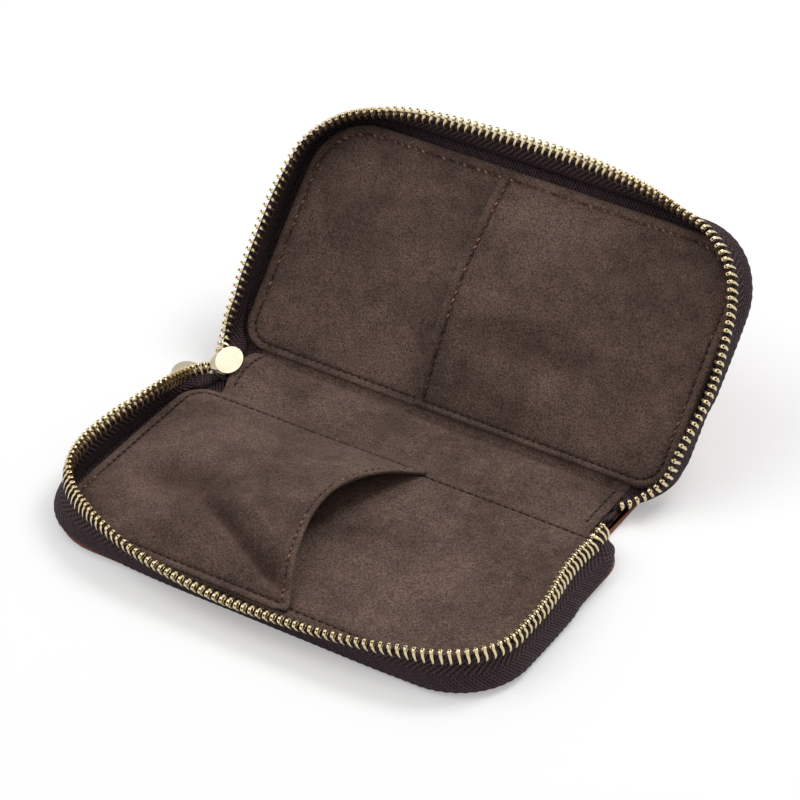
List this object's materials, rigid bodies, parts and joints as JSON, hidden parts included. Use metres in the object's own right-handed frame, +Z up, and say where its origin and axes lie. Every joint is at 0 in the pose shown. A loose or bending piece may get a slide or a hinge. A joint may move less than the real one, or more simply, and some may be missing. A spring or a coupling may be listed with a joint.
{
  "type": "watch travel case",
  "caption": "Zip-around leather travel case for watches, lying open, with a suede lining and a slip pocket in each half.",
  "frame": {"origin": "middle of the base half's underside, on the surface that the open case lies on", "axes": "+X along the fold lines towards the right, +Y from the base half to the lid half, +Z up"},
  "size_m": [0.1744, 0.178, 0.0752],
  "materials": {
    "leather": "smooth oiled leather, reddish brown",
    "suede": "brushed nubuck, matte grey-brown",
    "board": "raw fibre board, hidden",
    "foam": "thin padding, hidden",
    "tape": "herringbone-woven polyester tape",
    "teeth": "antique brass, polished tips",
    "slider_metal": "antique brass plating",
    "pull_metal": "pale gold plating, satin"
  },
  "bodies": {
    "base": {"base_leather": "leather", "base_board": "board", "base_foam": "foam", "base_lining": "suede", "base_pocket": "suede", "base_tape": "tape", "base_teeth": "teeth"},
    "spine": {"spine_leather": "leather", "spine_board": "board", "spine_lining": "suede", "zip_stub": "tape", "joined_teeth": "teeth", "zip_tails": "tape"},
    "lid": {"lid_leather": "leather", "lid_board": "board", "lid_foam": "foam", "lid_lining": "suede", "lid_pocket": "suede", "lid_tape": "tape", "lid_teeth": "teeth"},
    "slider": {"slider_body": "slider_metal", "inner_bail": "slider_metal", "outer_bail": "slider_metal"},
    "inner_pull": {"inner_pull": "pull_metal"},
    "outer_pull": {"outer_pull": "pull_metal"}
  },
  "joints": [
    {"name": "base_fold", "type": "hinge", "parent": "base", "child": "spine", "pos_m": [0, 0.0425, 0.0018], "axis": [1, 0, 0], "range_deg": [0, 85]},
    {"name": "lid_fold", "type": "hinge", "parent": "spine", "child": "lid", "pos_m": [0, 0.0665, 0.0018], "axis": [1, 0, 0], "range_deg": [-46, 42]},
    {"name": "slider_travel", "type": "slide", "parent": "spine", "child": "slider", "axis": [-1, 0, 0], "range_m": [0, 0.005]},
    {"name": "inner_pull_swing", "type": "hinge", "parent": "slider", "child": "inner_pull", "pos_m": [-0.0744, 0.0516, 0.00784], "axis": [0, 0.848, 0.5299], "range_deg": [-90, 0]},
    {"name": "outer_pull_swing", "type": "hinge", "parent": "slider", "child": "outer_pull", "pos_m": [-0.0741, 0.0527, 0.00265], "axis": [-0.4695, 0.8637, 0.1836], "range_deg": [-110, 2]}
  ]
}
